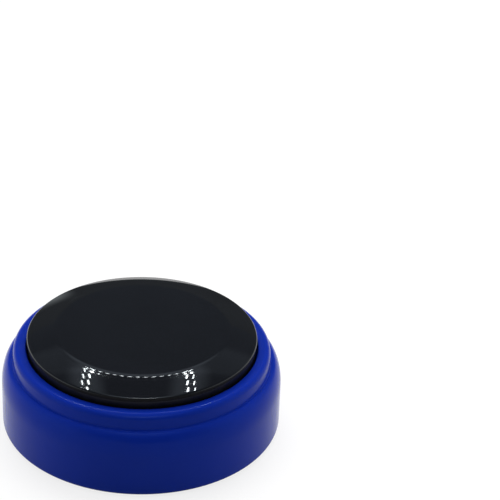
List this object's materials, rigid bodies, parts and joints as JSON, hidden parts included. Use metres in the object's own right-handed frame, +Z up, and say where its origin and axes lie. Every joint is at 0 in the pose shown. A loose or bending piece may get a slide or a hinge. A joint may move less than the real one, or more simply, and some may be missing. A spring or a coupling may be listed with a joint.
{
  "type": "talking clock",
  "caption": "Round talking clock in a stepped blue case with a large black push button on top, setting keys, speaker holes and a hinged battery door underneath.",
  "frame": {"origin": "centre of the round case on the table plane, at the undersides of the rubber feet", "axes": "+Z up through the push button; -Y is the side seen in front in the picture and carries the speaker, +Y the battery side; +X to the viewer's right"},
  "size_m": [0.088, 0.088, 0.0332],
  "materials": {
    "case_blue": "satin",
    "base_blue": "matte",
    "cap_black": "polished",
    "carrier_black": "satin",
    "spring_wire": "satin",
    "dome_silicone": "matte",
    "board_green": "satin",
    "chip_epoxy": "satin",
    "crystal_can": "satin",
    "capacitor_sleeve": "gloss",
    "screw_steel": "satin",
    "switch_body": "satin",
    "plunger_ivory": "satin",
    "key_black": "matte",
    "speaker_steel": "satin",
    "magnet_ferrite": "matte",
    "cone_paper": "matte",
    "gasket_foam": "matte",
    "cell_jacket": "satin",
    "contact_plate": "satin",
    "door_blue": "matte",
    "pad_foam": "matte",
    "switch_steel": "satin",
    "foot_rubber": "matte",
    "wire_red": "gloss",
    "wire_black": "gloss",
    "wire_white": "gloss"
  },
  "bodies": {
    "case": {"upper_housing": "case_blue", "base_cover": "base_blue", "return_springs": "spring_wire", "dome_switch": "dome_silicone", "main_board": "board_green", "voice_chip": "chip_epoxy", "crystal": "crystal_can", "capacitors": "capacitor_sleeve", "board_screws": "screw_steel", "set_switches": "switch_body", "speaker_frame": "speaker_steel", "speaker_magnet": "magnet_ferrite", "speaker_cone": "cone_paper", "speaker_gasket": "gasket_foam", "speaker_screws": "screw_steel", "battery_cell_front": "cell_jacket", "battery_cell_rear": "cell_jacket", "positive_contact": "contact_plate", "negative_contact": "contact_plate", "contact_bridge": "contact_plate", "contact_springs": "spring_wire", "slide_switch_can": "switch_steel", "switch_screws": "screw_steel", "case_screws": "screw_steel", "rubber_feet": "foot_rubber", "speaker_wire_red": "wire_red", "speaker_wire_black": "wire_black", "battery_wire_red": "wire_red", "battery_wire_black": "wire_black", "switch_wires": "wire_white"},
    "push_button": {"push_cap": "cap_black", "cap_screws": "screw_steel", "plunger_carrier": "carrier_black"},
    "door": {"battery_door": "door_blue", "door_pad": "pad_foam"},
    "alarm_slide": {"slide_switch_knob": "key_black"},
    "hour_key": {"hour_button": "key_black"},
    "hour_pin": {"hour_plunger": "plunger_ivory"},
    "minute_key": {"minute_button": "key_black"},
    "minute_pin": {"minute_plunger": "plunger_ivory"},
    "alarm_key": {"alarm_button": "key_black"},
    "alarm_pin": {"alarm_plunger": "plunger_ivory"},
    "volume_key": {"volume_button": "key_black"},
    "volume_pin": {"volume_plunger": "plunger_ivory"}
  },
  "joints": [
    {"name": "button_press", "type": "slide", "parent": "case", "child": "push_button", "axis": [0, 0, -1], "range_m": [0, 0.0025], "stiffness_N_per_m": 600, "springref_m": -0.003, "deforming": ["return_springs", "dome_switch"]},
    {"name": "battery_door_hinge", "type": "hinge", "parent": "case", "child": "door", "pos_m": [-0.02598, 0.016, 0.002], "axis": [0, 1, 0], "range_deg": [0, 75]},
    {"name": "alarm_switch_slide", "type": "slide", "parent": "case", "child": "alarm_slide", "axis": [1, 0, 0], "range_m": [0, 0.002]},
    {"name": "hour_press", "type": "slide", "parent": "case", "child": "hour_key", "axis": [0, 0, 1], "range_m": [0, 0.0005], "stiffness_N_per_m": 600, "springref_m": -0.0008},
    {"name": "hour_pin_slide", "type": "slide", "parent": "case", "child": "hour_pin", "axis": [0, 0, 1], "range_m": [0, 0.0005]},
    {"name": "minute_press", "type": "slide", "parent": "case", "child": "minute_key", "axis": [0, 0, 1], "range_m": [0, 0.0005], "stiffness_N_per_m": 600, "springref_m": -0.0008},
    {"name": "minute_pin_slide", "type": "slide", "parent": "case", "child": "minute_pin", "axis": [0, 0, 1], "range_m": [0, 0.0005]},
    {"name": "alarm_press", "type": "slide", "parent": "case", "child": "alarm_key", "axis": [0, 0, 1], "range_m": [0, 0.0005], "stiffness_N_per_m": 600, "springref_m": -0.0008},
    {"name": "alarm_pin_slide", "type": "slide", "parent": "case", "child": "alarm_pin", "axis": [0, 0, 1], "range_m": [0, 0.0005]},
    {"name": "volume_press", "type": "slide", "parent": "case", "child": "volume_key", "axis": [0, 0, 1], "range_m": [0, 0.0005], "stiffness_N_per_m": 600, "springref_m": -0.0008},
    {"name": "volume_pin_slide", "type": "slide", "parent": "case", "child": "volume_pin", "axis": [0, 0, 1], "range_m": [0, 0.0005]}
  ],
  "couplings": [
    {"joint": "hour_pin_slide", "follows": "hour_press", "ratio": 1},
    {"joint": "minute_pin_slide", "follows": "minute_press", "ratio": 1},
    {"joint": "alarm_pin_slide", "follows": "alarm_press", "ratio": 1},
    {"joint": "volume_pin_slide", "follows": "volume_press", "ratio": 1}
  ]
}
